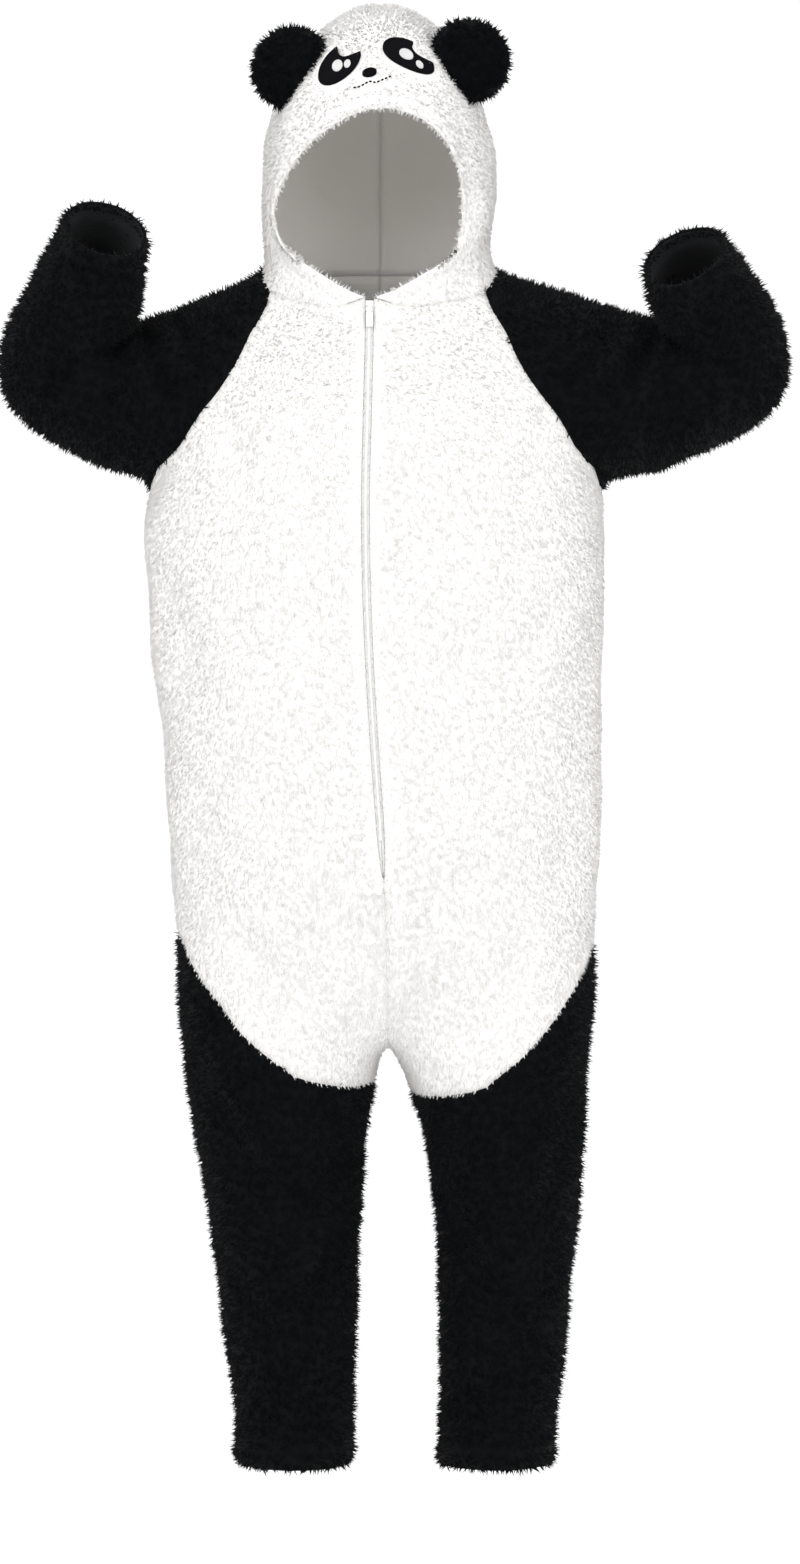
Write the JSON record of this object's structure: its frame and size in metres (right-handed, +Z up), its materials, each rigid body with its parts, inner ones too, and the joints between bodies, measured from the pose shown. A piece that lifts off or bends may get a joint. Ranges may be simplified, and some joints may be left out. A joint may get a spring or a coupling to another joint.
{
  "type": "panda onesie",
  "caption": "Child's hooded all-in-one suit in white and black plush, with a panda face and ears on the hood, raglan sleeves and a front zip, held open as worn.",
  "frame": {"origin": "middle of the neckline at shoulder height, where the wearer's shoulders and neck hold the garment", "axes": "+Z up the standing wearer, -Y the garment's front, +X the wearer's left"},
  "size_m": [0.7283, 0.28, 1.3587],
  "materials": {
    "white_plush": "long-pile polyester plush, white",
    "black_plush": "long-pile polyester plush, black",
    "black_felt": "smooth black felt",
    "white_felt": "satin-stitched white",
    "zip_tape": "woven polyester tape",
    "zip_nylon": "nylon coil",
    "zip_enamel": "white enamel on die-cast zinc"
  },
  "bodies": {
    "garment": {"back_left": "white_plush", "back_right": "white_plush", "ear_left": "black_plush", "ear_right": "black_plush", "eye_left": "black_felt", "eye_right": "black_felt", "front_left": "white_plush", "front_right": "white_plush", "glint_left_large": "white_felt", "glint_left_small": "white_felt", "glint_right_large": "white_felt", "glint_right_small": "white_felt", "hood_face": "white_plush", "hood_side_left": "white_plush", "hood_side_right": "white_plush", "leg_back_left": "black_plush", "leg_back_right": "black_plush", "leg_front_left": "black_plush", "leg_front_right": "black_plush", "nose": "black_felt", "sleeve_left": "black_plush", "sleeve_right": "black_plush", "zip_chain": "zip_nylon", "zip_slider": "zip_enamel", "zip_tape_left": "zip_tape", "zip_tape_right": "zip_tape"},
    "pull_tab": {"zip_pull": "zip_enamel"}
  },
  "joints": [
    {"name": "pull_tab_hinge", "type": "hinge", "parent": "garment", "child": "pull_tab", "pos_m": [-0.00906, -0.0879, -0.00993], "axis": [-1, 0, 0], "range_deg": [0, 150]}
  ]
}
